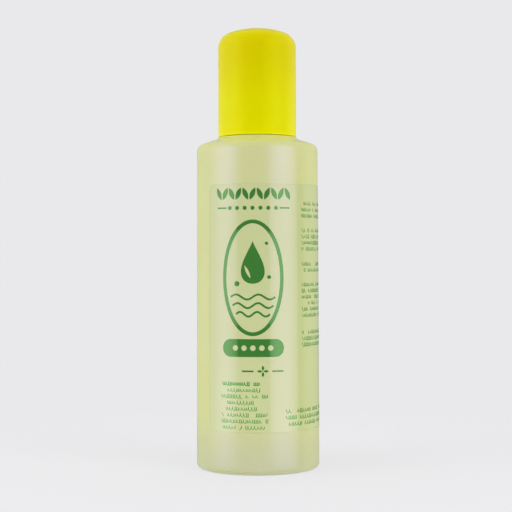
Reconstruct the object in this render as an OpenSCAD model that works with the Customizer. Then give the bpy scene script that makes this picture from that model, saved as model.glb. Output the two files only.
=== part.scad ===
// A small bottle of nail polish remover: a translucent blow-moulded cylinder, a transparent wraparound label
// and a tall domed screw cap. It stands on z = 0 with its axis on Z, and the printed front faces -Y.

/* [Bottle] */
// Diameter at the foot of the wall
base_d = 38.6; // [36:0.1:42]
// How much smaller the wall's radius is at its top
wall_taper = 0.3; // [0:0.05:0.6]
// Height where the wall ends and the shoulder's corner begins
wall_top_z = 99.2; // [92:0.1:110]
// Thickness of the blown wall
wall = 1.2; // [0.9:0.05:1.5]
// Thickness of the floor
floor_t = 1.4; // [1:0.1:2]
// Radius of the outer corner at the foot
base_corner = 1.5; // [1:0.1:3]
// Radius of the inner corner at the foot
inner_corner = 2.2; // [1:0.1:4]
// Radius of the shoulder's outer corner
shoulder_corner = 2.4; // [2:0.1:4]
// Slope of the shoulder in degrees
shoulder_slope = 18.4; // [10:0.1:26]
// Diameter of the push-up in the base
push_up_d = 28; // [20:0.5:32]
// Depth of the push-up in the base
push_up_depth = 1.6; // [0.8:0.1:2.2]
// Length of the pinch-off weld across the push-up
pinch_l = 15; // [8:0.5:18]
// Width of the pinch-off weld
pinch_w = 0.8; // [0.4:0.1:1.2]
// Height of the pinch-off weld at its middle
pinch_h = 0.6; // [0.3:0.1:0.7]

/* [Neck] */
// How far the seat under the cap's edge stands inside the cap's side
seat_inset = 0.05; // [0:0.05:0.4]
// Height of the seat above the line of the shoulder
seat_rise = 0.45; // [0.3:0.05:1]
// Radius of the fillet from the shoulder up to the seat
seat_fillet = 1.5; // [1:0.1:2]
// Height of the neck above the seat
neck_h = 14.2; // [13:0.1:16]
// Diameter over the neck's thread
thread_d = 19.8; // [19:0.05:22]
// Depth of the neck's thread
thread_depth = 1; // [0.8:0.05:1.2]
// Wall of the neck inside the thread
neck_wall = 2.2; // [1.6:0.1:2.8]
// Radius of the neck's root fillet and of its rim
neck_round = 0.4; // [0.2:0.05:0.6]
// Pitch of the thread
pitch = 3.175; // [3:0.005:3.5]
// Turns of thread on the neck and in the cap
thread_turns = 1.5; // [1:0.25:2]
// Height of the start of the neck's thread above the seat
thread_rise = 4.6; // [4:0.1:5.5]
// Width of a thread at its crest
thread_crest_w = 0.9; // [0.7:0.05:1]

/* [Contents] */
// Height of the surface of the liquid above the seat, up in the neck
fill_rise = 1; // [0.2:0.1:4]

/* [Neck plug] */
// How far the plug's flange on the rim stops short of the neck's side
plug_flange_inset = 0.5; // [0.3:0.1:1]
// Thickness of the plug's flange and disc
plug_flange_t = 0.9; // [0.6:0.05:1.2]
// Length of the plug's sleeve in the neck
plug_sleeve_l = 6.5; // [5:0.1:8]
// Wall of the plug's sleeve
plug_wall = 0.8; // [0.6:0.05:1]
// Diameter of the pouring hole
pour_hole_d = 3; // [2:0.1:4]
// Diameter of the drip dish round the pouring hole
drip_dish_d = 8; // [6:0.1:10]
// Depth of the drip dish
drip_dish_depth = 0.4; // [0.2:0.05:0.5]

/* [Cap] */
// Height of the cap from its edge to its crown
cap_h = 34.15; // [32:0.05:40]
// Wall of the cap's shell
cap_wall = 1.1; // [1:0.05:1.2]
// Radius of the cap's upper corner
cap_corner = 4.9; // [4:0.1:6]
// Rise of the cap's crown above that corner
crown_rise = 1.2; // [0.8:0.05:1.8]
// Radius on the outer edge of the cap's mouth
cap_edge_round = 0.3; // [0.2:0.05:0.4]
// Number of ribs inside the dome that stop the insert
dome_ribs = 8; // [4:1:12]
// Thickness of a dome rib
dome_rib_t = 0.8; // [0.6:0.1:1.2]
// Depth of a dome rib from the wall inwards
dome_rib_depth = 1.6; // [1:0.1:2.4]

/* [Cap insert] */
// Wall of the insert outside its thread
insert_wall = 1.08; // [0.9:0.02:1.4]
// Thickness of the insert's deck
deck_t = 1.3; // [1:0.1:1.8]
// Number of stiffening ribs on the deck
deck_ribs = 6; // [3:1:8]
// Height of a deck rib
deck_rib_h = 1; // [0.6:0.1:1.6]
// Thickness of a deck rib
deck_rib_t = 0.8; // [0.6:0.1:1.2]
// Radius from the axis to the inner end of a deck rib
deck_rib_r = 2.5; // [2:0.1:4]
// Number of splines that key the insert into the shell
splines = 12; // [6:1:18]
// Radius of a spline
spline_r = 0.35; // [0.25:0.05:0.4]
// Height of the lower end of a spline above the insert's edge
spline_lead = 0.8; // [0.4:0.1:1.2]
// Radius of the bead that snaps into the shell
snap_r = 0.3; // [0.2:0.05:0.35]
// Height of that bead above the insert's edge
snap_rise = 2.2; // [1.5:0.1:3]

/* [Sealing wad] */
// Thickness of the foam wad
wad_t = 1.2; // [0.8:0.05:2]
// Gap from the wad's rim to the insert's bore
wad_rim_gap = 0.15; // [0.1:0.05:0.3]

/* [Label] */
// Height of the label's lower edge
label_z = 13.1; // [8:0.1:20]
// Distance from the label's upper edge to the top of the wall
label_head_gap = 10.9; // [4:0.1:20]
// Width of the bare strip between the label's ends, round the back
label_bare_w = 25.3; // [10:0.1:50]
// Angle from the front to the label's left end in degrees
label_left = 50.3; // [40:0.1:60]
// Thickness of the film
label_t = 0.06; // [0.05:0.01:0.1]
// Radius of the label's corners
label_corner = 1.8; // [1:0.1:3]

/* [Fits] */
// Gap from the crest of a thread to the wall it runs along
thread_gap = 0.15; // [0.1:0.05:0.2]
// Gap between the flanks of the two threads
flank_gap = 0.19; // [0.1:0.01:0.25]
// Gap between faces of the bottle, the wad and the cap that close on each other
face_gap = 0.04; // [0.02:0.01:0.06]
// Gap round a piece that is pressed home
press_gap = 0.02; // [0.01:0.005:0.03]
// Gap from the cap's edge down to the seat when it is tight
edge_gap = 0.15; // [0.1:0.05:0.2]
// Height of the insert's edge above the cap's edge
insert_lift = 0.4; // [0.3:0.05:0.8]
// Gap between a spline or snap bead and its groove
groove_gap = 0.05; // [0.03:0.01:0.08]
// Gap between the liquid and the inside of the bottle
wet_gap = 0.03; // [0.02:0.01:0.05]
// Thickness of the label's glue
glue_t = 0.01; // [0.01:0.005:0.02]

/* [Hidden] */
$fn = 120;
over = 1;              // how far a cut runs past what it cuts
base_r = base_d / 2;
wall_top_r = base_r - wall_taper;
push_up_sphere_r = (pow(push_up_d / 2, 2) + pow(push_up_depth, 2)) / (2 * push_up_depth);
thread_r = thread_d / 2;
neck_r = thread_r - thread_depth;
bore_r = neck_r - neck_wall;
insert_bore_r = thread_r + thread_gap;
insert_r = insert_bore_r + insert_wall;
shell_bore_r = insert_r + press_gap;
cap_r = shell_bore_r + cap_wall;
seat_r = cap_r - seat_inset;
// The point where the shoulder's corner meets its sloping line
corner_end_r = wall_top_r - shoulder_corner + shoulder_corner * sin(shoulder_slope);
corner_end_z = wall_top_z + shoulder_corner * cos(shoulder_slope);
seat_z = shoulder_z(seat_r) + seat_rise;
rim_z = seat_z + neck_h;
fill_z = seat_z + fill_rise;
// Centre of the fillet between the shoulder and the seat
fillet_r = seat_r + seat_fillet;
fillet_z = shoulder_z(fillet_r) + seat_fillet / cos(shoulder_slope);
plug_top_z = rim_z + plug_flange_t;
plug_r = bore_r - press_gap;
wad_z = plug_top_z + face_gap;
wad_r = insert_bore_r - wad_rim_gap;
deck_z = wad_z + wad_t + face_gap;
insert_top_z = deck_z + deck_t;
cap_edge_z = seat_z + edge_gap;
cap_top_z = cap_edge_z + cap_h;
insert_edge_z = cap_edge_z + insert_lift;
snap_z = insert_edge_z + snap_rise;
// The crown is a shallow sphere that meets the corner's arc on a common tangent
corner_centre_r = cap_r - cap_corner;
crown_r = (pow(corner_centre_r, 2) + pow(crown_rise, 2)) / (2 * crown_rise) + cap_corner;
crown_z = cap_top_z - crown_r;
corner_centre_z = crown_z + sqrt(pow(crown_r - cap_corner, 2) - pow(corner_centre_r, 2));
// The threads of the neck and the cap run half a pitch apart, in tilted arcs sunk a little into the wall
neck_thread_z = seat_z + thread_rise;
insert_thread_z = neck_thread_z - pitch / 2;
thread_arc_angle = 45; // degrees in one arc of thread
thread_lap_angle = 1;  // degrees by which neighbouring arcs overlap
thread_arcs = round(thread_turns * 360 / thread_arc_angle);
thread_foot_w = pitch - thread_crest_w - 2 * flank_gap;
thread_sink = thread_depth / 2;
thread_start = 20;     // degrees from +X to the start of the threads
thread_dive = 12;      // degrees by which the neck's thread turns in at its ends
label_top_z = wall_top_z - label_head_gap;
label_angle = 360 * (1 - label_bare_w / (PI * (base_r + wall_top_r)));
// From the label's edges to the centre of a corner's arc, a little short so that the arc crosses the edges
label_arc_centre = label_corner - label_t;

// Height of the sloping line of the shoulder at radius r
function shoulder_z(r) = corner_end_z + (corner_end_r - r) * tan(shoulder_slope);

// Radius of the outer wall at height z
function wall_r(z) = base_r + (wall_top_r - base_r) * (z - base_corner) / (wall_top_z - base_corner);

// Half section of the body, drawn in from the outside by inset, with its floor at floor_z
module body_section(inset, floor_z, corner) {
    foot_z = floor_z + corner;
    foot_r = wall_r(foot_z) - inset;
    top_r = wall_top_r - inset;
    arc_r = shoulder_corner - inset;
    arc_centre_r = wall_top_r - shoulder_corner;
    arc_end = [arc_centre_r + arc_r * sin(shoulder_slope), wall_top_z + arc_r * cos(shoulder_slope)];
    translate([0, floor_z]) square([foot_r - corner, corner]);
    intersection() {
        translate([foot_r - corner, foot_z]) circle(corner);
        translate([foot_r - corner, floor_z]) square([corner, corner]);
    }
    polygon([[0, foot_z], [foot_r, foot_z], [top_r, wall_top_z], [0, wall_top_z]]);
    intersection() {
        translate([arc_centre_r, wall_top_z]) circle(arc_r);
        translate([arc_centre_r, wall_top_z]) square([arc_r, arc_r]);
    }
    polygon([
        [0, wall_top_z],
        [arc_centre_r, wall_top_z],
        arc_end,
        [0, arc_end[1] + arc_end[0] * tan(shoulder_slope)],
    ]);
}

// Half section of the bottle's outside, with the seat and the neck
module outer_section() {
    fillet_foot_r = fillet_r - seat_fillet * sin(shoulder_slope);
    fillet_foot_z = fillet_z - seat_fillet * cos(shoulder_slope);
    intersection() {
        body_section(0, 0, base_corner);
        square([base_r, seat_z]);
    }
    difference() {
        translate([0, fillet_foot_z]) square([fillet_foot_r, seat_z - fillet_foot_z]);
        translate([fillet_r, fillet_z]) circle(seat_fillet);
    }
    translate([0, seat_z - wall]) square([neck_r, rim_z - neck_round - seat_z + wall]);
    translate([0, seat_z - wall]) square([neck_r - neck_round, rim_z - seat_z + wall]);
    translate([neck_r - neck_round, rim_z - neck_round]) circle(neck_round);
    difference() {
        translate([0, seat_z - wall]) square([neck_r + neck_round, wall + neck_round]);
        translate([neck_r + neck_round, seat_z + neck_round]) circle(neck_round);
    }
}

// Half section of the room inside the bottle, smaller all round by gap
module inner_section(gap) {
    difference() {
        intersection() {
            body_section(wall + gap, floor_t + gap, inner_corner);
            square([base_r, seat_z - wall - gap]);
        }
        translate([0, push_up_depth - push_up_sphere_r]) circle(push_up_sphere_r + floor_t + gap);
    }
    translate([0, wall_top_z]) square([bore_r - gap, rim_z + over - wall_top_z]);
}

// One arc of a thread, tilted to the thread's slope. angle is where its middle lies, counted from the start of
// the thread, and dive turns it about its first or last point, at end_angle, to sink its far end into the wall.
module thread_arc(foot_r, crest_r, foot_z, angle, end_angle = 0, dive = 0) {
    side = sign(crest_r - foot_r);
    buried_r = foot_r - side * thread_sink;
    slope = atan(pitch / (2 * PI * foot_r));
    hinge = [foot_r * cos(end_angle), foot_r * sin(end_angle), 0];
    translate([0, 0, foot_z + pitch * angle / 360])
        translate(hinge) rotate(dive) translate(-hinge)
            rotate(angle) rotate([slope, 0, 0]) rotate(-(thread_arc_angle + thread_lap_angle) / 2)
                rotate_extrude(angle = thread_arc_angle + thread_lap_angle)
                    polygon([
                        [buried_r, -thread_foot_w / 2],
                        [crest_r, -thread_crest_w / 2],
                        [crest_r, thread_crest_w / 2],
                        [buried_r, thread_foot_w / 2],
                    ]);
}

// A thread as a chain of tilted arcs, its foot at radius foot_r and its crest at crest_r
module thread(foot_r, crest_r, foot_z) {
    for (k = [0:thread_arcs - 1])
        thread_arc(foot_r, crest_r, foot_z, (k + 1 / 2) * thread_arc_angle);
}

// The blown bottle: seat and threaded neck above, push-up with its pinch-off weld below
module bottle() {
    color([0.84, 0.85, 0.7, 0.6]) {
        difference() {
            rotate_extrude() outer_section();
            rotate_extrude() inner_section(0);
            translate([0, 0, push_up_depth - push_up_sphere_r]) sphere(push_up_sphere_r);
        }
        translate([-pinch_l / 2, -pinch_w / 2, push_up_depth - pinch_h])
            cube([pinch_l, pinch_w, pinch_h + floor_t / 2]);
        rotate(thread_start) {
            thread(neck_r, thread_r, neck_thread_z);
            thread_arc(neck_r, thread_r, neck_thread_z, -thread_arc_angle / 2, 0, -thread_dive);
            thread_arc(neck_r, thread_r, neck_thread_z, (thread_arcs + 1 / 2) * thread_arc_angle,
                thread_arcs * thread_arc_angle, thread_dive);
        }
    }
}

// The remover inside, up to its surface in the neck
module liquid() {
    color([0.85, 0.88, 0.35, 0.6])
        rotate_extrude()
            intersection() {
                inner_section(wet_gap);
                square([base_r, fill_z]);
            }
}

// The pouring plug: a disc with a small hole on the rim of the neck, and a sleeve down the bore
module neck_plug() {
    color([0.93, 0.93, 0.9])
        rotate_extrude()
            difference() {
                union() {
                    translate([0, rim_z]) square([neck_r - plug_flange_inset, plug_flange_t]);
                    translate([plug_r - plug_wall, rim_z - plug_sleeve_l]) square([plug_wall, plug_sleeve_l]);
                }
                translate([0, rim_z - over]) square([pour_hole_d / 2, plug_flange_t + 2 * over]);
                translate([0, plug_top_z - drip_dish_depth])
                    square([drip_dish_d / 2, drip_dish_depth + over]);
            }
}

// Half section of the cap's domed outside, drawn in by inset, from height foot_z up
module dome_section(inset, foot_z) {
    arc_r = cap_corner - inset;
    side_end = [2 * corner_centre_r, 2 * corner_centre_z - crown_z];
    translate([0, foot_z]) square([cap_r - inset, corner_centre_z - foot_z]);
    intersection() {
        translate([corner_centre_r, corner_centre_z]) circle(arc_r);
        translate([corner_centre_r, corner_centre_z]) square([arc_r, arc_r]);
    }
    intersection() {
        translate([0, crown_z]) circle(crown_r - inset);
        polygon([[0, crown_z], side_end, [0, side_end[1] + side_end[0]]]);
    }
}

// The outer shell of the cap, with stop ribs in its dome and grooves that key and hold the insert
module cap_shell() {
    color([0.87, 0.84, 0.02]) {
        difference() {
            rotate_extrude()
                difference() {
                    union() {
                        dome_section(0, cap_edge_z + cap_edge_round);
                        translate([0, cap_edge_z]) square([cap_r - cap_edge_round, cap_edge_round]);
                        translate([cap_r - cap_edge_round, cap_edge_z + cap_edge_round])
                            circle(cap_edge_round);
                    }
                    dome_section(cap_wall, cap_edge_z - over);
                    translate([shell_bore_r, snap_z]) circle(snap_r + groove_gap);
                }
            spline_set(shell_bore_r, spline_r + groove_gap, cap_edge_z - over, insert_top_z + press_gap);
        }
        intersection() {
            rotate_extrude() dome_section(cap_wall / 2, insert_top_z + press_gap);
            for (k = [0:dome_ribs - 1])
                rotate(360 * k / dome_ribs)
                    translate([shell_bore_r - dome_rib_depth, -dome_rib_t / 2, insert_top_z + press_gap])
                        cube([dome_rib_depth + cap_wall / 2, dome_rib_t, cap_top_z - insert_top_z]);
        }
    }
}

// Splines of radius r on a circle of radius ring_r
module spline_set(ring_r, r, low_z, high_z) {
    for (k = [0:splines - 1])
        rotate(360 * (k + 1 / 2) / splines)
            translate([ring_r, 0, low_z]) cylinder(high_z - low_z, r = r);
}

// The threaded insert: a sleeve pressed into the shell, closed by a ribbed deck over the neck
module cap_insert() {
    color([0.95, 0.95, 0.93]) {
        difference() {
            union() {
                rotate_extrude() {
                    translate([0, insert_edge_z]) square([insert_r, insert_top_z - insert_edge_z]);
                    translate([insert_r, snap_z]) circle(snap_r);
                }
                spline_set(insert_r, spline_r, insert_edge_z + spline_lead, insert_top_z);
            }
            translate([0, 0, insert_edge_z - over])
                cylinder(deck_z - insert_edge_z + over, r = insert_bore_r);
        }
        rotate(thread_start) thread(insert_bore_r, neck_r + thread_gap, insert_thread_z);
        for (k = [0:deck_ribs - 1])
            rotate(360 * k / deck_ribs)
                translate([deck_rib_r, -deck_rib_t / 2, insert_top_z - deck_t / 2])
                    cube([insert_bore_r - deck_rib_r - dome_rib_depth, deck_rib_t, deck_rib_h + deck_t / 2]);
    }
}

// The foam wad that seals the deck against the plug
module cap_liner() {
    color([0.97, 0.97, 0.97])
        translate([0, 0, wad_z]) cylinder(wad_t, r = wad_r);
}

// What rounding takes off one corner of the label, at the angle of that end
module label_corner_cut(angle, turn_side, z, up) {
    rotate(angle)
        translate([wall_r(z) - over, 0, z])
            rotate([90, 0, 90])
                linear_extrude(2 * over)
                    scale([turn_side, up])
                        difference() {
                            translate([-over, -over]) square(label_arc_centre + over);
                            translate([label_arc_centre, label_arc_centre]) circle(label_corner);
                        }
}

// The transparent film with its four rounded corners
module label() {
    first = -90 - label_left;
    color([0.9, 0.95, 0.8, 0.4])
        difference() {
            rotate(first)
                rotate_extrude(angle = label_angle)
                    polygon([
                        [wall_r(label_z) + glue_t, label_z],
                        [wall_r(label_z) + glue_t + label_t, label_z],
                        [wall_r(label_top_z) + glue_t + label_t, label_top_z],
                        [wall_r(label_top_z) + glue_t, label_top_z],
                    ]);
            label_corner_cut(first, 1, label_z, 1);
            label_corner_cut(first, 1, label_top_z, -1);
            label_corner_cut(first + label_angle, -1, label_z, 1);
            label_corner_cut(first + label_angle, -1, label_top_z, -1);
        }
}

bottle();
liquid();
neck_plug();
cap_shell();
cap_insert();
cap_liner();
label();
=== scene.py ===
# %% [markdown]
# # A bottle of nail polish remover
#
# A small blow-moulded bottle stands on a pale surface. It holds a yellow liquid that tints its milky wall,
# it wears a clear printed film, and a tall domed screw cap closes it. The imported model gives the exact
# places of all seven parts. This lesson dresses them: some keep their mesh and get a finish, and some are
# rebuilt finer, in their place.

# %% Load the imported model
import bpy
import bmesh
import math
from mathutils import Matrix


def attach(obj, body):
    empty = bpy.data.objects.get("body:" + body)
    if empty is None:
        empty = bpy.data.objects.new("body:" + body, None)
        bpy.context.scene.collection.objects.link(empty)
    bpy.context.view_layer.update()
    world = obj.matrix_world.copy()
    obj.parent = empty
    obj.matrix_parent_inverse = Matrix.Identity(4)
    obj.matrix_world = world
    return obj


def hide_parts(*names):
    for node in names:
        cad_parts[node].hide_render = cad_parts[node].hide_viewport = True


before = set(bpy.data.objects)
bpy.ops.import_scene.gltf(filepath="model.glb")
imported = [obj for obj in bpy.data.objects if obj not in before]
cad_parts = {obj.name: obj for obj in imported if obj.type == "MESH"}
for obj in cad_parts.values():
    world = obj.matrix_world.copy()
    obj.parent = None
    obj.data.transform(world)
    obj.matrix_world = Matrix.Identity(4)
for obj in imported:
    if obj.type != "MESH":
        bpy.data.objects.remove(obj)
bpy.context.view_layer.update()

MM = 0.001
print("parts:", sorted(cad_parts))

# %% [markdown]
# ## Helpers for nodes
#
# Every material and every Geometry Nodes tree below is a graph of nodes. Adding a node, setting its options
# and filling its inputs is always the same work, so one function does it. What fills an input may be a
# plain value, an output, or a node, which stands for its first output in use. Inputs go by name, or by
# number where names repeat: a Mix node takes its share in input 0, and two colours in inputs 6 and 7.
#
# Colours are written as they look on a screen, in hex, and a shader wants linear light, so one function
# turns the first into the second. Another gives a noise its scale from a real size in millimetres.


# %% Add a node, read a colour, and space a pattern
def add(tree, kind, inputs=None, **options):
    """Adds a node, sets its options, and fills its inputs with values or links."""
    node = tree.nodes.new(kind)
    for name, value in options.items():
        setattr(node, name, value)
    for name, value in (inputs or {}).items():
        if isinstance(value, bpy.types.Node):
            value = next(output for output in value.outputs if output.enabled)
        if isinstance(value, bpy.types.NodeSocket):
            tree.links.new(value, node.inputs[name])
        else:
            node.inputs[name].default_value = value
    return node


def linear(hex_colour):
    """Turns an sRGB hex colour into linear red, green, blue and alpha."""
    parts = [int(hex_colour[k:k + 2], 16) / 255 for k in (0, 2, 4)]
    return [p / 12.92 if p <= 0.04045 else ((p + 0.055) / 1.055) ** 2.4 for p in parts] + [1.0]


def spaced(size_in_mm):
    """The scale of a noise whose patches are this far apart."""
    return 1 / (size_in_mm * MM)


print("the cap's yellow in linear light:", [round(c, 3) for c in linear("DED200")])

# %% [markdown]
# ## Helpers for Geometry Nodes
#
# A tree gets one named input for each size, so its shape can change without a touch to its nodes. It runs
# as a modifier on a plain mesh: the sizes are set by the inputs' identifiers before the mesh is first
# evaluated, the result is taken as a plain mesh, and the modifier goes.


# %% Make a tree, and grow a mesh from it
SOCKET_KINDS = {int: "NodeSocketInt", float: "NodeSocketFloat", tuple: "NodeSocketVector"}


def new_tree(title, sizes):
    """Makes a tree with an input for each size, and returns it with the outputs of its input node."""
    tree = bpy.data.node_groups.new(title, "GeometryNodeTree")
    tree.interface.new_socket("Geometry", in_out="INPUT", socket_type="NodeSocketGeometry")
    tree.interface.new_socket("Geometry", in_out="OUTPUT", socket_type="NodeSocketGeometry")
    for name, value in sizes.items():
        kind = SOCKET_KINDS.get(type(value), "NodeSocketMaterial")
        tree.interface.new_socket(name, in_out="INPUT", socket_type=kind)
    return tree, add(tree, "NodeGroupInput").outputs


def finish_tree(tree, mesh, material):
    """Ends a tree: instances become real, and the material is set."""
    real = add(tree, "GeometryNodeRealizeInstances", {"Geometry": mesh})
    dressed = add(tree, "GeometryNodeSetMaterial", {"Geometry": real, "Material": material})
    add(tree, "NodeGroupOutput", {"Geometry": dressed})


def grow(title, tree, sizes, start=None):
    """Runs a tree on a start mesh and returns its result as a plain mesh."""
    piece = bpy.data.objects.new(title, start or bpy.data.meshes.new(title))
    bpy.context.scene.collection.objects.link(piece)
    modifier = piece.modifiers.new(tree.name, "NODES")
    modifier.node_group = tree
    for socket in tree.interface.items_tree:
        if socket.in_out == "INPUT" and socket.name in sizes:
            modifier[socket.identifier] = sizes[socket.name]
    bpy.context.view_layer.update()
    evaluated = piece.evaluated_get(bpy.context.evaluated_depsgraph_get())
    mesh = bpy.data.meshes.new_from_object(evaluated)
    bpy.data.objects.remove(piece)
    print(title, "has", len(mesh.vertices), "points and", len(mesh.polygons), "faces")
    return mesh


print("an input is a material or", sorted(kind.__name__ for kind in SOCKET_KINDS))

# %% [markdown]
# ## The bottle's plastic
#
# The wall is natural HDPE, blow-moulded. It is milky, not clear: light goes in, scatters, and picks up the
# yellow of the liquid behind it, so the wall reads as a soft yellow-green up to the liquid's surface, and
# as milky white in the neck above it. The mould leaves it satin, with a fine grain, and the die that the
# hot tube came from leaves faint upright streaks. Rays could find all that by themselves in a see-through
# wall over a real liquid, but slowly and with noise. Here the tint is a chain of mixes, mostly over height,
# and the grain and the streaks go into roughness and bump. Three of the mixes are painted light: the foot's
# turn and the seat's rim are painted lighter where shade would fall, and the cap's yellow cast is painted
# on the shoulder just under its edge.

# %% Natural HDPE, and where its tint and its painted light change
FILL_Z = 104.64 * MM
CAP_EDGE_Z = 103.79 * MM


def new_material(title):
    """Makes an empty node material, and returns it with its tree and its object coordinates."""
    material = bpy.data.materials.new(title)
    material.use_nodes = True
    tree = material.node_tree
    tree.nodes.clear()
    return material, tree, add(tree, "ShaderNodeTexCoord").outputs["Object"]


hdpe, tree, where = new_material("natural_hdpe_blow_moulded")
height = add(tree, "ShaderNodeSeparateXYZ", {"Vector": where}).outputs["Z"]
# The tint fades out over 2 mm at the liquid's surface, because light creeps along the wall.
wet = add(tree, "ShaderNodeMapRange", {
    "Value": height, "From Min": FILL_Z + 1 * MM, "From Max": FILL_Z - 1 * MM},
    interpolation_type="SMOOTHSTEP")
# Blown walls vary in thickness over some 14 mm, which shows as a slow drift of the tint.
drift = add(tree, "ShaderNodeTexNoise", {"Vector": where, "Scale": spaced(14.3), "Detail": 1.0})
# How far out a point is, for the painted light on the rim of the seat.
off_axis = add(tree, "ShaderNodeVectorMath", {0: where, 1: (1.0, 1.0, 0.0)}, operation="MULTIPLY")
off_axis = add(tree, "ShaderNodeVectorMath", {0: off_axis}, operation="LENGTH")
painted_rim_light_share = add(tree, "ShaderNodeMapRange", {
    "Value": off_axis, "From Min": 11.0 * MM, "From Max": 12.2 * MM, "To Max": 0.9})
# A change of the tint or of the painted light starts at one height and is complete at another. Strength,
# shape and colour follow.
TINTS_AND_PAINTED_LIGHT = (
    # The wall thickens towards the foot, and there is less liquid behind it, so the tint is weaker there.
    (20 * MM, 2 * MM, 0.8, "SMOOTHSTEP", "C8CC9F"),
    # Painted light: the foot's lowest 1.3 mm, where it turns to the floor, is painted lighter, so it
    # doesn't go dark.
    (1.3 * MM, 0.0, 1.0, "LINEAR", "F0F1C4"),
    # Painted light: the yellow that the cap casts on the shoulder is painted in the 1.4 mm under its edge.
    (CAP_EDGE_Z - 1.4 * MM, CAP_EDGE_Z - 0.2 * MM, 0.5, "LINEAR", "DADE50"),
    # Painted light: the seat's outer rim is painted lighter, so the gap under the cap isn't dark.
    (CAP_EDGE_Z - 0.5 * MM, CAP_EDGE_Z - 0.2 * MM, painted_rim_light_share, "LINEAR", "F4F48C"),
)
print("the liquid ends", round((FILL_Z - CAP_EDGE_Z) / MM, 2), "mm above the cap's lower edge")

# %% Natural HDPE, its colour and its satin skin
tint_and_painted_light = add(tree, "ShaderNodeMix", {0: drift, 6: linear("D6D992"), 7: linear("DADD9B")}, data_type="RGBA")
for start, end, strength, shape, hex_colour in TINTS_AND_PAINTED_LIGHT:
    share = add(tree, "ShaderNodeMapRange", {
        "Value": height, "From Min": start, "From Max": end, "To Max": strength}, interpolation_type=shape)
    tint_and_painted_light = add(tree, "ShaderNodeMix", {0: share, 6: tint_and_painted_light, 7: linear(hex_colour)}, data_type="RGBA")
milky = add(tree, "ShaderNodeMix", {0: wet, 6: linear("DEDFD2"), 7: tint_and_painted_light}, data_type="RGBA")
# Streaks about 1.5 mm apart and 80 mm long, and the mould's grain of 0.3 mm.
upright = add(tree, "ShaderNodeMapping", {
    "Vector": where, "Scale": (spaced(1.54), spaced(1.54), spaced(83.3))})
streaks = add(tree, "ShaderNodeTexNoise", {"Vector": upright, "Scale": 1.0, "Detail": 2.0})
grain = add(tree, "ShaderNodeTexNoise", {"Vector": where, "Scale": spaced(0.3125), "Detail": 2.0})
relief = add(tree, "ShaderNodeMath", {0: streaks, 1: 1.6, 2: grain}, operation="MULTIPLY_ADD")
bump = add(tree, "ShaderNodeBump", {"Height": relief, "Strength": 0.12, "Distance": 0.02 * MM})
satin = add(tree, "ShaderNodeMapRange", {"Value": grain, "To Min": 0.25, "To Max": 0.32})
skin = add(tree, "ShaderNodeBsdfPrincipled", {
    "Base Color": milky, "Roughness": satin, "Normal": bump, "IOR": 1.54, "Specular IOR Level": 0.9,
    "Specular Tint": (0.5, 0.42, 1.0, 1.0),
    "Subsurface Weight": 1.0, "Subsurface Radius": (1.0, 1.0, 0.6), "Subsurface Scale": 0.4 * MM})
add(tree, "ShaderNodeOutputMaterial", {"Surface": skin})
print("HDPE nodes:", len(tree.nodes))

# %% [markdown]
# ## The bottle's body
#
# A blown bottle is a body of revolution: one profile turned round the axis. The profile goes up the outside
# from the push-up, over the shoulder and the seat, up the neck, and back down the inside, so that the wall
# is a closed shell with its real thickness. It could be drawn point by point, but a rule is shorter and
# easier to change: the profile is a chain of corners, each with a radius, a height and a rounding in
# millimetres, and the tree rounds each corner and turns the chain. The two unrounded corners on the wall
# keep its shading straight.

# %% The corners of the bottle
BOTTLE_CORNERS = {
    "Push-up Centre": (0.0, 1.6, 0.0),
    "Push-up Dome": (7.1, 1.6, 61.0),
    "Standing Ring": (14.0, 0.0, 1.0),
    "Foot": (19.305, 0.0, 1.5),
    "Wall Low": (19.294, 3.4, 0.0),
    "Wall High": (19.005, 97.6, 0.0),
    "Shoulder": (18.995, 100.933, 2.4),
    "Seat Foot": (12.613, 103.056, 1.3),
    "Seat Edge": (12.34, 103.643, 0.25),
    "Neck Root": (8.9, 103.643, 0.4),
    "Rim Outside": (8.9, 117.843, 0.4),
    "Rim Inside": (6.7, 117.843, 0.1),
    "Bore Foot": (6.7, 102.443, 0.6),
    "Ceiling Edge": (10.652, 102.443, 1.5),
    "Inside Shoulder": (17.794, 100.067, 1.2),
    "Inside Wall High": (17.805, 97.6, 0.0),
    "Inside Wall Low": (18.09, 6.0, 0.0),
    "Inside Foot": (18.103, 1.4, 2.2),
    "Floor Edge": (14.16, 1.4, 1.0),
    "Floor Dome": (7.17, 3.0, 62.0),
    "Floor Centre": (0.0, 3.0, 0.0),
}
print("the bottle has", len(BOTTLE_CORNERS), "corners, and its widest is",
      max(corner[0] for corner in BOTTLE_CORNERS.values()), "mm from the axis")


# %% The lathe, a tree that rounds a chain of corners and turns it round the axis
TOUCHING = 0.001  # Points closer than this, in millimetres, become one.


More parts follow.
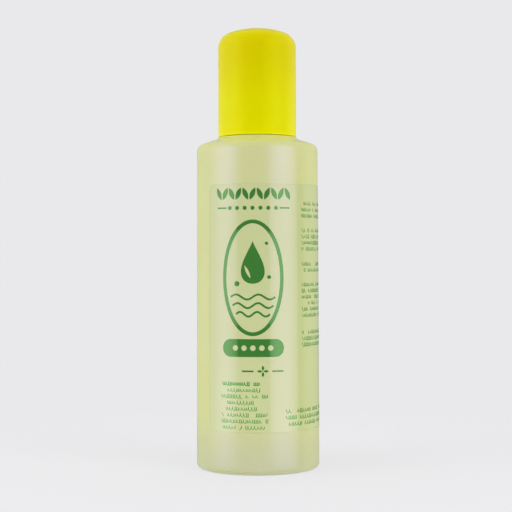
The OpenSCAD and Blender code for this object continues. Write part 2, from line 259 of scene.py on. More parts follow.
def lathe_tree(title, corners, sizes):
    """A tree that turns a profile. Each corner is an input: radius, height and rounding in millimetres."""
    tree, given = new_tree(title, {**corners, **sizes})
    chain = add(tree, "GeometryNodeMeshLine", {"Count": len(corners)}, mode="OFFSET")
    index = add(tree, "GeometryNodeInputIndex")
    pick = add(tree, "GeometryNodeIndexSwitch", {"Index": index}, data_type="VECTOR")
    while len(pick.index_switch_items) < len(corners):
        pick.index_switch_items.new()
    for k, name in enumerate(corners):
        tree.links.new(given[name], pick.inputs[k + 1])
    corner = add(tree, "ShaderNodeSeparateXYZ", {"Vector": pick})
    # The sweep goes round a circle of radius 1 mm, and it wants the profile from there, with down as +Y.
    out = add(tree, "ShaderNodeMath", {0: corner.outputs["X"], 1: 1.0}, operation="SUBTRACT")
    down = add(tree, "ShaderNodeMath", {0: corner.outputs["Y"], 1: -1.0}, operation="MULTIPLY")
    point = add(tree, "ShaderNodeCombineXYZ", {"X": out, "Y": down})
    shaped = add(tree, "GeometryNodeSetPosition", {"Geometry": chain, "Position": point})
    kept = add(tree, "GeometryNodeStoreNamedAttribute", {
        "Geometry": shaped, "Name": "rounding", "Value": corner.outputs["Z"]}, data_type="FLOAT")
    curve = add(tree, "GeometryNodeMeshToCurve", {"Mesh": kept})
    rounding = add(tree, "GeometryNodeInputNamedAttribute", {"Name": "rounding"}, data_type="FLOAT")
    rounded = add(tree, "GeometryNodeFilletCurve", {
        "Curve": curve, "Count": given["Steps per Corner"], "Radius": rounding}, mode="POLY")
    circle = add(tree, "GeometryNodeCurvePrimitiveCircle", {"Resolution": given["Sides"], "Radius": 1.0})
    turned = add(tree, "GeometryNodeCurveToMesh", {"Curve": circle, "Profile Curve": rounded})
    metres = add(tree, "GeometryNodeTransform", {"Geometry": turned, "Scale": (MM, MM, MM)})
    outward = add(tree, "GeometryNodeFlipFaces", {"Mesh": metres})
    closed = add(tree, "GeometryNodeMergeByDistance", {"Geometry": outward, "Distance": TOUCHING * MM})
    finish_tree(tree, closed, given["Material"])
    return tree


body_sizes = {"Sides": 192, "Steps per Corner": 10, "Material": hdpe}
turned_bottle = lathe_tree("Turned bottle", BOTTLE_CORNERS, body_sizes)
body = grow("bottle_body", turned_bottle, {**BOTTLE_CORNERS, **body_sizes})

# %% [markdown]
# ## The thread on the neck
#
# The thread is one rib that climbs the neck one and three quarter times, at the standard pitch of 3.175 mm.
# Its ends run out by sinking into the neck, as a mould cuts them. A Screw modifier could turn the rib's
# profile, but it ends in two blunt faces. A helix is a curve primitive, so the tree pulls both ends of one
# inwards and sweeps the profile along it.

# %% The helix of the thread, with its run-outs
THREAD_SIZES = {
    "Pitch": 3.175, "Turns": 1.75, "Neck Radius": 8.9, "Depth": 1.0, "Sunk": 0.5, "Foot Width": 1.895,
    "Crest Width": 0.9, "Edge Rounding": 0.14, "Start Height": 107.846, "Start Angle": math.radians(-25.0),
    "Run-out": 0.07, "Steps per Turn": 96, "Material": hdpe,
}
# At its ends the rib stands this many depths further in, so that its crest is just under the neck's skin.
SINK_OF_ENDS = 1.12
tree, given = new_tree("Neck thread", THREAD_SIZES)
climb = add(tree, "ShaderNodeMath", {0: given["Pitch"], 1: given["Turns"]}, operation="MULTIPLY")
helix = add(tree, "GeometryNodeCurveSpiral", {
    "Resolution": given["Steps per Turn"], "Rotations": given["Turns"], "Height": climb, "Reverse": True,
    "Start Radius": given["Neck Radius"], "End Radius": given["Neck Radius"]})
along = add(tree, "GeometryNodeSplineParameter").outputs["Factor"]
back = add(tree, "ShaderNodeMath", {0: 1.0, 1: along}, operation="SUBTRACT")
nearest_end = add(tree, "ShaderNodeMath", {0: along, 1: back}, operation="MINIMUM")
hidden = add(tree, "ShaderNodeMath", {0: given["Depth"], 1: -SINK_OF_ENDS}, operation="MULTIPLY")
shift = add(tree, "ShaderNodeMapRange", {
    "Value": nearest_end, "From Max": given["Run-out"], "To Min": hidden, "To Max": 0.0},
    interpolation_type="SMOOTHSTEP")
here = add(tree, "GeometryNodeInputPosition")
flat = add(tree, "ShaderNodeVectorMath", {0: here, 1: (1.0, 1.0, 0.0)}, operation="MULTIPLY")
outwards = add(tree, "ShaderNodeVectorMath", {0: flat}, operation="NORMALIZE")
pull = add(tree, "ShaderNodeVectorMath", {0: outwards, "Scale": shift}, operation="SCALE")
run_out = add(tree, "GeometryNodeSetPosition", {"Geometry": helix, "Offset": pull})
level = add(tree, "GeometryNodeSetCurveNormal", {"Curve": run_out}, mode="Z_UP")
print("the thread climbs", round(THREAD_SIZES["Pitch"] * THREAD_SIZES["Turns"], 2), "mm")

# %% The rib of the thread, swept along the helix
full_depth = add(tree, "ShaderNodeMath", {0: given["Depth"], 1: given["Sunk"]}, operation="ADD")
rib = add(tree, "GeometryNodeCurvePrimitiveQuadrilateral", {
    "Height": full_depth, "Bottom Width": given["Foot Width"], "Top Width": given["Crest Width"],
    "Offset": 0.0}, mode="TRAPEZOID")
# The trapezoid stands along Y, and the sweep wants it lying along X, from the sunk foot out to the crest.
half = add(tree, "ShaderNodeMath", {0: full_depth, 1: 0.5}, operation="MULTIPLY")
middle = add(tree, "ShaderNodeMath", {0: half, 1: given["Sunk"]}, operation="SUBTRACT")
offset = add(tree, "ShaderNodeCombineXYZ", {"X": middle})
lying = add(tree, "GeometryNodeTransform", {
    "Geometry": rib, "Translation": offset, "Rotation": (0.0, 0.0, math.radians(-90.0))})
softened = add(tree, "GeometryNodeFilletCurve", {
    "Curve": lying, "Count": 3, "Radius": given["Edge Rounding"]}, mode="POLY")
swept = add(tree, "GeometryNodeCurveToMesh", {"Curve": level, "Profile Curve": softened, "Fill Caps": True})
turn = add(tree, "ShaderNodeCombineXYZ", {"Z": given["Start Angle"]})
lift = add(tree, "ShaderNodeCombineXYZ", {"Z": given["Start Height"]})
lifted = add(tree, "GeometryNodeTransform", {"Geometry": swept, "Translation": lift, "Rotation": turn})
metres = add(tree, "GeometryNodeTransform", {"Geometry": lifted, "Scale": (MM, MM, MM)})
finish_tree(tree, metres, given["Material"])
thread = grow("neck_thread", tree, THREAD_SIZES)

# %% [markdown]
# ## The weld in the base
#
# Where the mould pinched the hot tube shut, a low straight weld crosses the push-up. It could be cut into
# the turned body, but a small soft-edged bar that sinks into it looks the same and leaves the round mesh
# clean. So it is a tapered block with a bevel. Then the turned body, the thread and the weld become one
# piece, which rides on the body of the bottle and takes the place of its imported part.


# %% A bmesh taken as a mesh, meshes joined, and a piece put in its place
def mesh_of(title, bm):
    """Takes a finished bmesh as a mesh."""
    mesh = bpy.data.meshes.new(title)
    bm.to_mesh(mesh)
    bm.free()
    return mesh


def joined(title, *meshes):
    """One mesh made of several, shaded smooth."""
    bm = bmesh.new()
    for mesh in meshes:
        bm.from_mesh(mesh)
    result = mesh_of(title, bm)
    for material in meshes[0].materials:
        result.materials.append(material)
    result.shade_smooth()
    return result


def place(title, mesh, body, slot, *nodes):
    """Makes a piece of a finished mesh, lets it ride on its body, and hides the imported parts that it
    replaces.
    """
    piece = bpy.data.objects.new(title, mesh)
    bpy.context.scene.collection.objects.link(piece)
    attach(piece, body)
    if nodes:
        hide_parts(*nodes)


print("faces to join:", len(body.polygons), "of the body and", len(thread.polygons), "of the thread")

# %% The pinch-off weld, and the whole bottle
WELD_LENGTH, WELD_WIDTH, WELD_LOW, WELD_HIGH = 15.0, 0.8, 1.0, 2.3
WELD_TAPER, WELD_ROUNDING = 0.92, 0.15
bm = bmesh.new()
bmesh.ops.create_cube(bm, size=1.0)
for v in bm.verts:
    narrowed = 1.0 if v.co.z > 0 else WELD_TAPER
    v.co = (v.co.x * WELD_LENGTH * narrowed * MM, v.co.y * WELD_WIDTH * narrowed * MM,
            ((WELD_LOW + WELD_HIGH) / 2 + v.co.z * (WELD_HIGH - WELD_LOW)) * MM)
bmesh.ops.bevel(bm, geom=list(bm.edges), offset=WELD_ROUNDING * MM, segments=3, profile=0.5, affect="EDGES")
whole = joined("bottle_wall", body, thread, mesh_of("weld", bm))
place("bottle_wall", whole, "bottle", "bottle_plastic", "bottle")
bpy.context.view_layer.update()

# %% [markdown]
# ## The film and the ink
#
# The label is one clear polyester film, with a gloss like glass, glued to the satin wall. The glue wets the
# wall's grain, so the plastic looks a little deeper and greener under it. The green ink is printed on the
# film and shares its gloss. A see-through film would need rays to pass it and the wall both, and it is the
# first thing that another renderer gets wrong. So the film is drawn as what it shows: the wetted colour
# below, and a smooth clear skin above.

# %% Clear film over wetted HDPE
film, tree, where = new_material("clear_film_on_wet_hdpe")
drift = add(tree, "ShaderNodeTexNoise", {"Vector": where, "Scale": spaced(14.3), "Detail": 1.0})
wetted = add(tree, "ShaderNodeMix", {0: drift, 6: linear("C5CC8B"), 7: linear("C9D195")}, data_type="RGBA")
# A film laid by machine still has waves of about 8 mm, which bend the edges of a reflection.
waves = add(tree, "ShaderNodeTexNoise", {"Vector": where, "Scale": spaced(8.0), "Detail": 1.0})
bump = add(tree, "ShaderNodeBump", {"Height": waves, "Strength": 0.35, "Distance": 0.02 * MM})
# Dust and touch dull it a little, in patches of about 1 mm.
dusty = add(tree, "ShaderNodeTexNoise", {"Vector": where, "Scale": spaced(1.11), "Detail": 3.0})
gloss = add(tree, "ShaderNodeMapRange", {"Value": dusty, "To Min": 0.1, "To Max": 0.16})
skin = add(tree, "ShaderNodeBsdfPrincipled", {
    "Base Color": wetted, "Roughness": gloss, "Normal": bump, "IOR": 1.55, "Specular IOR Level": 0.6,
    "Specular Tint": (0.75, 0.6, 1.0, 1.0)})
add(tree, "ShaderNodeOutputMaterial", {"Surface": skin})
print("film nodes:", len(tree.nodes))

# %% Green ink in two strengths
ink, tree, where = new_material("green_ink_under_gloss")
# Flexo ink varies a little in weight, in patches of about 1 mm.
weight = add(tree, "ShaderNodeTexNoise", {"Vector": where, "Scale": spaced(1.0), "Detail": 2.0})
green = add(tree, "ShaderNodeMix", {0: weight, 6: linear("0A5E00"), 7: linear("106802")}, data_type="RGBA")
gloss = add(tree, "ShaderNodeMapRange", {"Value": weight, "To Min": 0.1, "To Max": 0.16})
skin = add(tree, "ShaderNodeBsdfPrincipled", {
    "Base Color": green, "Roughness": gloss, "IOR": 1.55, "Specular IOR Level": 0.85,
    "Specular Tint": (0.6, 1.0, 0.5, 1.0)})
add(tree, "ShaderNodeOutputMaterial", {"Surface": skin})

# Strokes of 0.2 mm print thinner than full areas, so more film shows through, and the green is paler.
fine_ink = ink.copy()
fine_ink.name = "green_ink_fine_strokes"
pale = fine_ink.node_tree.nodes["Mix"]
pale.inputs[6].default_value, pale.inputs[7].default_value = linear("2F8A1C"), linear("3F9A2E")
print("inks:", ink.name, "and", fine_ink.name)

# %% [markdown]
# ## Laying flat shapes on the wall
#
# The film and everything printed on it are flat shapes wrapped round a wall that tapers a little. They
# could be modelled bent, but it is easier to draw them flat, in millimetres from the middle of the front,
# and to let one tree do the wrapping: it gives a flat shape its thickness and then turns its x into an
# angle and its y into a height. The shapes are cut into narrow upright strips first, because only their
# points are moved.

# %% The tree that lays a shape on the wall: its thickness
WALL_SIZES = {
    "Foot Radius": 19.3, "Top Radius": 19.0, "Foot Height": 1.5, "Top Height": 99.2, "Unroll Radius": 19.15,
}
LAY_SIZES = {**WALL_SIZES, "Lift": 0.01, "Thickness": 0.04, "Material": film}
lay_tree, given = new_tree("Lay on the wall", LAY_SIZES)
facing = add(lay_tree, "ShaderNodeSeparateXYZ", {"Vector": add(lay_tree, "GeometryNodeInputNormal")})
backwards = add(lay_tree, "FunctionNodeCompare", {0: facing.outputs["Z"], 1: 0.0}, operation="LESS_THAN")
sheet = add(lay_tree, "GeometryNodeFlipFaces", {"Mesh": given["Geometry"], "Selection": backwards})
thick = add(lay_tree, "ShaderNodeCombineXYZ", {"Z": given["Thickness"]})
raised = add(lay_tree, "GeometryNodeExtrudeMesh", {"Mesh": sheet, "Offset": thick, "Individual": False})
underside = add(lay_tree, "GeometryNodeFlipFaces", {"Mesh": sheet})
both = lay_tree.nodes.new("GeometryNodeJoinGeometry")
for layer in (raised, underside):
    lay_tree.links.new(layer.outputs["Mesh"], both.inputs[0])
solid = add(lay_tree, "GeometryNodeMergeByDistance", {"Geometry": both, "Distance": TOUCHING})
print("the film is", LAY_SIZES["Thickness"], "mm thick")

# %% The tree that lays a shape on the wall: its wrap
CREASE = math.radians(40.0)
point = add(lay_tree, "ShaderNodeSeparateXYZ", {"Vector": add(lay_tree, "GeometryNodeInputPosition")})
turns = add(lay_tree, "ShaderNodeMath", {
    0: point.outputs["X"], 1: given["Unroll Radius"]}, operation="DIVIDE")
angle = add(lay_tree, "ShaderNodeMath", {0: turns, 1: math.pi / 2}, operation="SUBTRACT")
wall = add(lay_tree, "ShaderNodeMapRange", {
    "Value": point.outputs["Y"], "From Min": given["Foot Height"], "From Max": given["Top Height"],
    "To Min": given["Foot Radius"], "To Max": given["Top Radius"]}, clamp=False)
over_wall = add(lay_tree, "ShaderNodeMath", {0: wall, 1: given["Lift"]}, operation="ADD")
radius = add(lay_tree, "ShaderNodeMath", {0: over_wall, 1: point.outputs["Z"]}, operation="ADD")
round_wall = []
for circle_part in ("COSINE", "SINE"):
    part = add(lay_tree, "ShaderNodeMath", {0: angle}, operation=circle_part)
    round_wall.append(add(lay_tree, "ShaderNodeMath", {0: part, 1: radius}, operation="MULTIPLY"))
spot = add(lay_tree, "ShaderNodeCombineXYZ", {
    "X": round_wall[0], "Y": round_wall[1], "Z": point.outputs["Y"]})
spot = add(lay_tree, "ShaderNodeVectorMath", {0: spot, "Scale": MM}, operation="SCALE")
laid = add(lay_tree, "GeometryNodeSetPosition", {"Geometry": solid, "Position": spot})
# The faces are shaded smooth round the wall, and the sheet's rim stays a hard edge.
smooth = add(lay_tree, "GeometryNodeSetShadeSmooth", {
    "Geometry": laid, "Shade Smooth": True}, domain="FACE")
bend = add(lay_tree, "GeometryNodeInputMeshEdgeAngle").outputs["Unsigned Angle"]
rim = add(lay_tree, "FunctionNodeCompare", {0: bend, 1: CREASE}, operation="GREATER_THAN")
crisp = add(lay_tree, "GeometryNodeSetShadeSmooth", {
    "Geometry": smooth, "Selection": rim, "Shade Smooth": False}, domain="EDGE")
finish_tree(lay_tree, crisp, given["Material"])
print("nodes that lay a shape on the wall:", len(lay_tree.nodes))


# %% Flat shapes, filled and cut into strips
STRIP = 0.5


def rounded_box(x0, y0, x1, y1, r, steps=8):
    """The outline of a box with rounded corners."""
    outline = []
    middles = ((x1 - r, y1 - r), (x0 + r, y1 - r), (x0 + r, y0 + r), (x1 - r, y0 + r))
    for quarter, (cx, cy) in enumerate(middles):
        for k in range(steps + 1):
            a = math.radians(90 * quarter + 90 * k / steps)
            outline.append((cx + r * math.cos(a), cy + r * math.sin(a)))
    return outline


def filled(title, shapes):
    """A flat mesh of filled shapes. Each shape is a list of outlines: its edge, and then its holes."""
    bm = bmesh.new()
    for outlines in shapes:
        edges = []
        for outline in outlines:
            corners = [bm.verts.new((x, y, 0.0)) for x, y in outline]
            edges += [bm.edges.new((corners[k - 1], corners[k])) for k in range(len(corners))]
        bmesh.ops.triangle_fill(bm, use_beauty=True, use_dissolve=False, edges=edges)
    left, right = min(v.co.x for v in bm.verts), max(v.co.x for v in bm.verts)
    for k in range(math.ceil(left / STRIP), math.ceil(right / STRIP)):
        bmesh.ops.bisect_plane(bm, geom=bm.verts[:] + bm.edges[:] + bm.faces[:],
                               plane_co=(k * STRIP, 0, 0), plane_no=(1, 0, 0))
    return mesh_of(title, bm)


# The film's ends are degrees round the bottle from the middle of the front, and its edges are heights.
LABEL_LEFT, LABEL_RIGHT = -50.3, 234.0
LABEL_LOW, LABEL_HIGH, LABEL_CORNER = 13.1, 88.3, 1.8
mm_per_degree = math.radians(WALL_SIZES["Unroll Radius"])
label_outline = rounded_box(
    LABEL_LEFT * mm_per_degree, LABEL_LOW, LABEL_RIGHT * mm_per_degree, LABEL_HIGH, LABEL_CORNER)
label = grow("label_film", lay_tree, LAY_SIZES, filled("film_flat", [[label_outline]]))
place("label_film", label, "bottle", "label_film", "label")

# %% [markdown]
# ## The print
#
# The print is a simple design of its own: a garland of leaves, an oval with a drop over waves, a band with
# dots, and lines that stand for text without any letters. It could be painted in the film's material, but
# ink made as thin shapes keeps its edges sharp at any distance. Filled shapes come from outlines. Lines of
# a constant width are drawn as a path first, and a pen tree gives them their width. The same wrapping tree
# lays both on the film.


# %% Outlines of an oval, a leaf and a drop
def oval(cx, cy, rx, ry, steps=24):
    """The outline of an oval."""
    return [(cx + rx * math.cos(2 * math.pi * k / steps), cy + ry * math.sin(2 * math.pi * k / steps))
            for k in range(steps)]


def leaf(cx, cy, length, width, tilt, steps=14):
    """The outline of a leaf: two arcs, a little fuller than a sine, that meet in points."""
    outline = []
    for k in range(2 * steps):
        t = k / steps
        along, side = (t, 1) if t <= 1 else (2 - t, -1)
        x, y = (along - 0.5) * length, side * width / 2 * math.sin(math.pi * along) ** 0.85
        outline.append((cx + x * math.cos(tilt) - y * math.sin(tilt),
                        cy + x * math.sin(tilt) + y * math.cos(tilt)))
    return outline


def drop(cx, cy, width, length, steps=48):
    """The outline of a drop with its point up: an oval, squeezed towards its top and widened to make up."""
    outline = []
    for k in range(steps):
        a = 2 * math.pi * k / steps
        squeeze = math.sin(a / 2) ** 1.6
        outline.append((cx + width / 2 * math.sin(a) * squeeze * 1.25, cy + length / 2 * math.cos(a)))
    return outline


print("corners of a leaf:", len(leaf(0, 0, 1, 1, 0)))

# %% Filled shapes of the design
INK_SIZES = {**LAY_SIZES, "Lift": 0.052, "Thickness": 0.016, "Material": ink}
CENTRE_X = -1.5
GARLAND_Y, DOTS_Y, DROP_Y, OVAL_Y, BAND_Y, ORNAMENT_Y = 85.2, 80.9, 64.5, 59.8, 38.6, 31.6
LEAF_PITCH, LEAF_LENGTH, LEAF_WIDTH, LEAF_LEAN = 2.2, 4.0, 1.5, 24
DOT_PITCH, DOT_RADIUS, HOLE_PITCH, HOLE_RADIUS = 2.4, 0.62, 2.7, 0.85
BAND_REACH, BAND_HALF, BAND_CORNER = 9.6, 2.7, 2.6
SMALL_LEAF_OUT, RULE_HALF = 0.95, 0.25

shapes = []
# The leaves of the garland lean to either side in turn, and a row of dots runs under them.
for k in range(-5, 6):
    lean = math.radians(90 + LEAF_LEAN * (1 if k % 2 else -1))
    shapes.append([leaf(CENTRE_X + LEAF_PITCH * k, GARLAND_Y, LEAF_LENGTH, LEAF_WIDTH, lean)])
for k in range(-3, 4):
    shapes.append([oval(CENTRE_X + DOT_PITCH * k, DOTS_Y, DOT_RADIUS, DOT_RADIUS, 20)])
# The drop has a glint left open in it, and three small drops fly off.
glint = list(reversed(leaf(CENTRE_X - 1.6, DROP_Y - 2.9, 4.4, 0.9, math.radians(115))))
shapes.append([drop(CENTRE_X, DROP_Y, 8.4, 13.0), glint])
for x, y, r in ((-4.9, 58.0, 0.8), (5.0, 60.0, 0.6), (4.2, 70.2, 0.5)):
    shapes.append([oval(CENTRE_X + x, y, r, r)])
# The band has five round holes.
band = [rounded_box(
    CENTRE_X - BAND_REACH, BAND_Y - BAND_HALF, CENTRE_X + BAND_REACH, BAND_Y + BAND_HALF, BAND_CORNER)]
for k in range(-2, 3):
    band.append(list(reversed(oval(CENTRE_X + HOLE_PITCH * k, BAND_Y, HOLE_RADIUS, HOLE_RADIUS))))
shapes.append(band)
# A small ornament under the band: a diamond of four leaves between two rules.
for quarter in range(4):
    a = math.radians(90 * quarter)
    x, y = CENTRE_X + 3.0 + SMALL_LEAF_OUT * math.cos(a), ORNAMENT_Y + SMALL_LEAF_OUT * math.sin(a)
    shapes.append([leaf(x, y, 1.6, 0.75, a, 8)])
for start, end in ((-3.4, 0.2), (5.8, 9.4)):
    low, high = ORNAMENT_Y - RULE_HALF, ORNAMENT_Y + RULE_HALF
    shapes.append([rounded_box(CENTRE_X + start, low, CENTRE_X + end, high, 0.24, 4)])
art = grow("print_shapes", lay_tree, INK_SIZES, filled("shapes_flat", shapes))
place("print_shapes", art, "bottle", "label_film")

# %% [markdown]
# ## The pen
#
# An outline ring, a wave and a rule are one path each. Two outlines with a gap between them could make
# each, but then their width wouldn't be even. The pen tree turns a path into a flat ribbon of the stroke's
# width. Its step is short, so the ribbon is also ready for wrapping.


# %% The pen tree
def ribbon(tree, given, curve):
    """Sweeps a level line as wide as the stroke along a flat curve."""
    ends = []
    for share in (-0.5, 0.5):
        end = add(tree, "ShaderNodeMath", {0: given["Stroke"], 1: share}, operation="MULTIPLY")
        ends.append(add(tree, "ShaderNodeCombineXYZ", {"X": end}))
    nib = add(tree, "GeometryNodeCurvePrimitiveLine", {"Start": ends[0], "End": ends[1]})
    return add(tree, "GeometryNodeCurveToMesh", {"Curve": curve, "Profile Curve": nib})


PEN_SIZES = {"Stroke": 1.15, "Step": 0.3, "Material": ink}
pen_tree, given = new_tree("Pen", PEN_SIZES)
path = add(pen_tree, "GeometryNodeMeshToCurve", {"Mesh": given["Geometry"]})
even = add(pen_tree, "GeometryNodeResampleCurve", {"Curve": path, "Length": given["Step"]}, mode="LENGTH")
finish_tree(pen_tree, ribbon(pen_tree, given, even), given["Material"])
print("the pen steps by", PEN_SIZES["Step"], "mm")


# %% The drawn lines
def paths(title, lines):
    """A mesh of bare edges along each line. A line that ends where it starts is closed."""
    mesh = bpy.data.meshes.new(title)
    points, edges = [], []
    for line in lines:
        closed = line[0] == line[-1]
        first, kept = len(points), line[:-1] if closed else line
        points += [(x, y, 0.0) for x, y in kept]
        edges += [(first + k, first + k + 1) for k in range(len(kept) - 1)]
        if closed:
            edges.append((first + len(kept) - 1, first))
    mesh.from_pydata(points, edges, [])
    return mesh


def draw(title, lines, stroke):
    """Draws lines in ink on the film."""
    flat_ribbons = grow(title + "_flat", pen_tree, {**PEN_SIZES, "Stroke": stroke}, paths(title, lines))
    place(title, grow(title, lay_tree, INK_SIZES, flat_ribbons), "bottle", "label_film")


def wave(reach, y, swing, steps=60):
    """A line of two full waves, as far to each side of the middle as it reaches."""
    return [(CENTRE_X - reach + 2 * reach * k / steps, y + swing * math.sin(4 * math.pi * k / steps))
            for k in range(steps + 1)]


ring = oval(CENTRE_X, OVAL_Y, 9.0, 17.0, 120)
draw("print_ring", [ring + ring[:1]], 1.15)
draw("print_waves", [wave(6.9, 54.0, 0.75), wave(6.3, 51.4, 0.75), wave(5.2, 48.8, 0.7)], 0.6)
draw("print_rules", [
    [(CENTRE_X - 11.6, DOTS_Y), (CENTRE_X - 8.4, DOTS_Y)],
    [(CENTRE_X + 8.4, DOTS_Y), (CENTRE_X + 11.6, DOTS_Y)],
], 0.45)

# %% [markdown]
# ## Lines that stand for text
#
# The small print on such a label is too fine to read. A wavy pen line with gaps for the spaces has the same
# grey value and rhythm, and says nothing. The tree sets out a block of straight lines and divides each into
# cells, one for a letter. A seeded random value for each cell cuts the gaps and gives the humps their
# number and height, and one for each line sets how short it is.

# %% The small print: a block of lines, and a number for each cell
TEXT_SIZES = {
    "Lines": 7, "Line Pitch": 1.88, "Line Length": 15.0, "Ragged": 0.3, "Letter Pitch": 1.0,
    "Letter Height": 1.2, "Stroke": 0.17, "Space Share": 0.15, "Centred": 1.0, "Seed": 3,
    "Material": fine_ink,
}
STEPS_PER_LETTER = 12.0
ROW_STRIDE = 977.0  # More than any line has cells, so that each cell of a block has a number of its own.
text_tree, given = new_tree("Small print", TEXT_SIZES)
tree = text_tree
step = add(tree, "ShaderNodeMath", {0: given["Letter Pitch"], 1: STEPS_PER_LETTER}, operation="DIVIDE")
count = add(tree, "ShaderNodeMath", {0: given["Line Length"], 1: step}, operation="DIVIDE")
one_line = add(tree, "GeometryNodeMeshLine", {
    "Count": count, "Offset": add(tree, "ShaderNodeCombineXYZ", {"X": step})}, mode="OFFSET")
drop_line = add(tree, "ShaderNodeMath", {0: given["Line Pitch"], 1: -1.0}, operation="MULTIPLY")
starts = add(tree, "GeometryNodeMeshLine", {
    "Count": given["Lines"], "Offset": add(tree, "ShaderNodeCombineXYZ", {"Y": drop_line})}, mode="OFFSET")
block = add(tree, "GeometryNodeInstanceOnPoints", {"Points": starts, "Instance": one_line})
block = add(tree, "GeometryNodeRealizeInstances", {"Geometry": block})
point = add(tree, "ShaderNodeSeparateXYZ", {"Vector": add(tree, "GeometryNodeInputPosition")})
cell = add(tree, "ShaderNodeMath", {0: point.outputs["X"], 1: given["Letter Pitch"]}, operation="DIVIDE")
cell = add(tree, "ShaderNodeMath", {0: cell}, operation="FLOOR")
row = add(tree, "ShaderNodeMath", {0: point.outputs["Y"], 1: drop_line}, operation="DIVIDE")
row = add(tree, "ShaderNodeMath", {0: row}, operation="ROUND")
cell_number = add(tree, "ShaderNodeMath", {0: row, 1: ROW_STRIDE, 2: cell}, operation="MULTIPLY_ADD")
print("the pen steps by", round(TEXT_SIZES["Letter Pitch"] / STEPS_PER_LETTER, 3), "mm in the small print")


# %% The small print: gaps and ragged ends
def seeded(low, high, number, seed_shift):
    """A random value for each number, from the block's seed."""
    seed = add(tree, "ShaderNodeMath", {0: given["Seed"], 1: seed_shift}, operation="ADD")
    return add(tree, "FunctionNodeRandomValue", {2: low, 3: high, "ID": number, "Seed": seed},
               data_type="FLOAT")


gap = add(tree, "FunctionNodeCompare", {
    0: seeded(0.0, 1.0, cell_number, 0.0), 1: given["Space Share"]}, operation="LESS_THAN")
short = add(tree, "ShaderNodeMath", {
    0: seeded(0.0, 1.0, row, 5.0), 1: given["Ragged"]}, operation="MULTIPLY")
kept_share = add(tree, "ShaderNodeMath", {0: 1.0, 1: short}, operation="SUBTRACT")
row_length = add(tree, "ShaderNodeMath", {0: kept_share, 1: given["Line Length"]}, operation="MULTIPLY")
beyond = add(tree, "FunctionNodeCompare", {0: point.outputs["X"], 1: row_length}, operation="GREATER_THAN")
cut_here = add(tree, "FunctionNodeBooleanMath", {0: gap, 1: beyond}, operation="OR")
print("nodes so far:", len(tree.nodes))

# %% The small print: the swing of the pen
# Each cell has one or two humps of its own height, and the line leans back at each, into a small loop.
HUMPS_LOW, HUMPS_HIGH = 0.51, 2.49
SWING_LOW, SWING_HIGH = 0.3, 0.56
LEAN_SHARE = 0.17
phase = add(tree, "ShaderNodeMath", {0: point.outputs["X"], 1: 2 * math.pi}, operation="MULTIPLY")
phase = add(tree, "ShaderNodeMath", {0: phase, 1: given["Letter Pitch"]}, operation="DIVIDE")
humps = add(tree, "ShaderNodeMath", {0: seeded(HUMPS_LOW, HUMPS_HIGH, cell_number, 3.0)}, operation="ROUND")
phase = add(tree, "ShaderNodeMath", {0: phase, 1: humps}, operation="MULTIPLY")
lean_back = add(tree, "ShaderNodeMath", {0: phase}, operation="COSINE")
lean_size = add(tree, "ShaderNodeMath", {0: given["Letter Pitch"], 1: LEAN_SHARE}, operation="MULTIPLY")
loop = add(tree, "ShaderNodeMath", {0: lean_back, 1: lean_size}, operation="MULTIPLY")
swing = add(tree, "ShaderNodeMath", {0: phase}, operation="SINE")
tallness = seeded(SWING_LOW, SWING_HIGH, cell_number, 9.0)
tall = add(tree, "ShaderNodeMath", {0: tallness, 1: given["Letter Height"]}, operation="MULTIPLY")
up = add(tree, "ShaderNodeMath", {0: swing, 1: tall}, operation="MULTIPLY")
# A centred line moves right by half of what it is short of.
spare = add(tree, "ShaderNodeMath", {0: given["Line Length"], 1: row_length}, operation="SUBTRACT")
half_spare = add(tree, "ShaderNodeMath", {0: spare, 1: 0.5}, operation="MULTIPLY")
across = add(tree, "ShaderNodeMath", {
    0: half_spare, 1: given["Centred"], 2: loop}, operation="MULTIPLY_ADD")
sway = add(tree, "ShaderNodeCombineXYZ", {"X": across, "Y": up})
swung = add(tree, "GeometryNodeSetPosition", {"Geometry": block, "Offset": sway})
words = add(tree, "GeometryNodeDeleteGeometry", {"Geometry": swung, "Selection": cut_here}, domain="POINT")
path = add(tree, "GeometryNodeMeshToCurve", {"Mesh": words})
finish_tree(tree, ribbon(tree, given, path), given["Material"])
print("nodes in all:", len(tree.nodes))


# %% The blocks of small print
def write(title, x, y, sizes):
    """Writes a block of small print with its first line at x, y."""
    flat_words = grow(title + "_flat", text_tree, {**TEXT_SIZES, **sizes})
    for v in flat_words.vertices:
        v.co.x += x
        v.co.y += y
    laid_words = grow(title, lay_tree, {**INK_SIZES, "Material": fine_ink}, flat_words)
    place(title, laid_words, "bottle", "label_film")


write("text_front_head", -11.3, 27.75, {
    "Lines": 1, "Line Length": 12.0, "Ragged": 0.0, "Stroke": 0.28, "Seed": 8})
write("text_front", -11.8, 25.85, {"Seed": 4})
for k, (y, lines) in enumerate(((82.4, 3), (74.2, 4), (63.9, 2), (57.6, 6), (43.0, 3))):
    write(f"text_side_{k}", 14.9, y, {"Lines": lines, "Line Length": 26.0, "Centred": 0.0, "Seed": 30 + k})
write("text_side_foot", 8.6, 19.3, {
    "Lines": 3, "Line Length": 30.0, "Line Pitch": 1.95, "Letter Height": 1.3, "Letter Pitch": 1.05,
    "Stroke": 0.2, "Centred": 0.0, "Seed": 51})
write("text_back", 46.0, 82.4, {
    "Lines": 24, "Line Length": 27.0, "Line Pitch": 2.4, "Centred": 0.0, "Seed": 60})

# %% [markdown]
# ## The cap
#
# The shell is glossy yellow polypropylene, injection-moulded in a polished mould, so its skin is smooth
# with only a trace of waviness. PP lets a little light in: over the white insert, in its lower half, the
# yellow looks a touch lighter and greener than over the empty dome. The shell could be turned anew as the
# bottle was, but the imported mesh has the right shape, with its grooves and stop ribs, so it stays.

